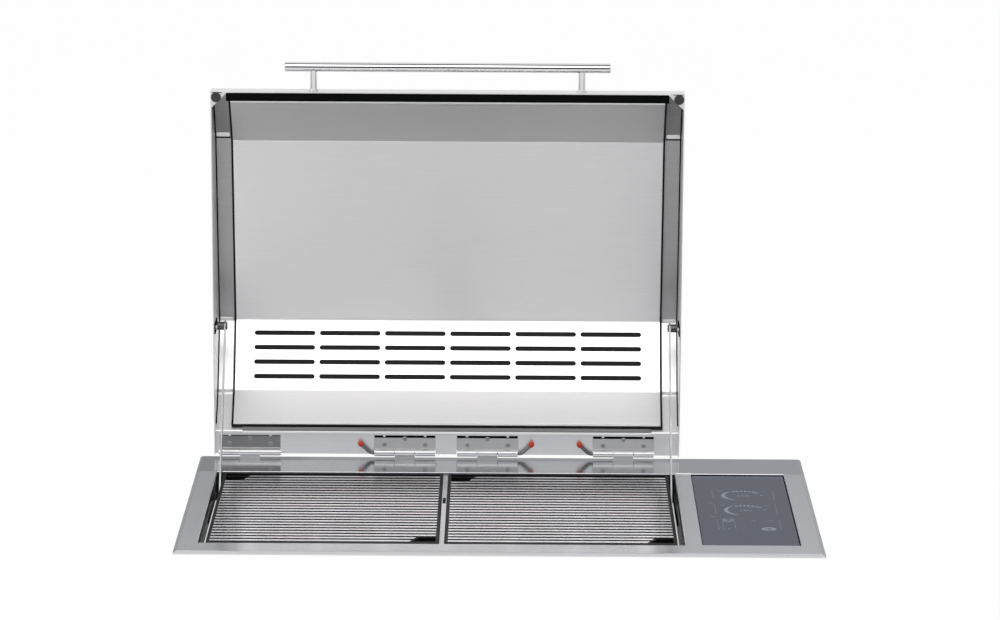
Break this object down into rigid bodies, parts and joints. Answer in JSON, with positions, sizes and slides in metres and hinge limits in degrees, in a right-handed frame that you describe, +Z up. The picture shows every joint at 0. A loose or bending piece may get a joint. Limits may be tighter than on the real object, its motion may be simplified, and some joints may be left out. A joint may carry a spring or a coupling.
{
  "type": "electric grill",
  "caption": "Drop-in countertop electric grill with a steel top plate, twin lift-out rib grates, a touch glass panel and a tall hinged lid on stays.",
  "frame": {"origin": "centre of the top plate's outline, in the plane of the counter surface that the plate's gasket rests on", "axes": "+X along the width to the control panel, +Y to the rear where the hinges are, +Z up"},
  "size_m": [0.8, 0.6067, 0.6583],
  "materials": {
    "plate_steel": "brushed stainless",
    "lid_steel": "brushed stainless",
    "liner_steel": "brushed stainless",
    "hinge_steel": "satin stainless",
    "bright_steel": "polished stainless",
    "zinc_steel": "zinc plated",
    "tub_steel": "dull stainless",
    "heater_sheath": "oxidised sheath",
    "rib_metal": "polished cast ribs",
    "grate_black": "black coated casting",
    "panel_glass": "back painted glass",
    "black_rubber": "silicone",
    "black_mat": "needled fibre",
    "red_cap": "dipped vinyl",
    "white_ceramic": "unglazed",
    "white_nylon": "moulded",
    "green_board": "solder mask",
    "black_plastic": "moulded"
  },
  "bodies": {
    "base": {"top_plate": "plate_steel", "seat_gasket": "black_rubber", "tub": "tub_steel", "tub_floor": "tub_steel", "divider_bar": "plate_steel", "grate_rails": "zinc_steel", "left_drip_tray": "tub_steel", "right_drip_tray": "tub_steel", "left_element": "heater_sheath", "right_element": "heater_sheath", "element_bars": "zinc_steel", "element_bushings": "white_ceramic", "temperature_probes": "zinc_steel", "left_guide_plate": "zinc_steel", "right_guide_plate": "zinc_steel", "guide_screws": "zinc_steel", "counter_clamps": "zinc_steel", "clamp_screws": "zinc_steel", "control_glass": "panel_glass", "glass_gasket": "black_rubber", "touch_board": "green_board", "control_housing": "tub_steel", "housing_cover": "tub_steel", "housing_screws": "zinc_steel", "power_board": "green_board", "board_posts": "white_nylon", "relays": "black_plastic", "terminal_block": "black_plastic", "cable_gland": "black_plastic", "gland_nut": "black_plastic", "base_hinge_knuckles": "hinge_steel"},
    "lid": {"lid_shell": "lid_steel", "lid_left_side": "lid_steel", "lid_right_side": "lid_steel", "lid_liner": "liner_steel", "lid_mat": "black_mat", "lid_seal": "black_rubber", "lid_corner_gussets": "lid_steel", "lid_bumpers": "black_rubber", "handle_bar": "bright_steel", "handle_posts": "bright_steel", "handle_screws": "zinc_steel", "lid_hinge_leaves": "hinge_steel", "hinge_screws": "zinc_steel", "plain_hinge_pin": "bright_steel", "stay_studs": "bright_steel"},
    "left_stay": {"left_stay_arm": "bright_steel", "left_stay_roller": "white_nylon"},
    "right_stay": {"right_stay_arm": "bright_steel", "right_stay_roller": "white_nylon"},
    "left_grate": {"left_grate_frame": "grate_black", "left_grate_ribs": "rib_metal"},
    "right_grate": {"right_grate_frame": "grate_black", "right_grate_ribs": "rib_metal"},
    "left_pin": {"bent_pin_left": "bright_steel", "pin_cap_left": "red_cap"},
    "middle_pin": {"bent_pin_middle": "bright_steel", "pin_cap_middle": "red_cap"},
    "right_pin": {"bent_pin_right": "bright_steel", "pin_cap_right": "red_cap"}
  },
  "joints": [
    {"name": "lid_hinge", "type": "hinge", "parent": "base", "child": "lid", "pos_m": [-0.0715, 0.253, 0.0115], "axis": [1, 0, 0], "range_deg": [0, 86]},
    {"name": "left_stay_pivot", "type": "hinge", "parent": "lid", "child": "left_stay", "pos_m": [-0.36675, 0.27441, 0.1784], "axis": [1, 0, 0], "range_deg": [-121.5, 0]},
    {"name": "right_stay_pivot", "type": "hinge", "parent": "lid", "child": "right_stay", "pos_m": [0.22375, 0.27441, 0.1784], "axis": [1, 0, 0], "range_deg": [-121.5, 0]},
    {"name": "left_grate_lift", "type": "slide", "parent": "base", "child": "left_grate", "axis": [0, 0, 1], "range_m": [0, 0.015]},
    {"name": "right_grate_lift", "type": "slide", "parent": "base", "child": "right_grate", "axis": [0, 0, 1], "range_m": [0, 0.015]},
    {"name": "left_pin_pull", "type": "slide", "parent": "lid", "child": "left_pin", "axis": [-1, 0, 0], "range_m": [0, 0.084]},
    {"name": "middle_pin_pull", "type": "slide", "parent": "lid", "child": "middle_pin", "axis": [1, 0, 0], "range_m": [0, 0.024]},
    {"name": "right_pin_pull", "type": "slide", "parent": "lid", "child": "right_pin", "axis": [-1, 0, 0], "range_m": [0, 0.024]}
  ],
  "couplings": [
    {"joint": "left_stay_pivot", "follows": "lid_hinge", "ratio": -1.4088},
    {"joint": "right_stay_pivot", "follows": "lid_hinge", "ratio": -1.4088}
  ]
}
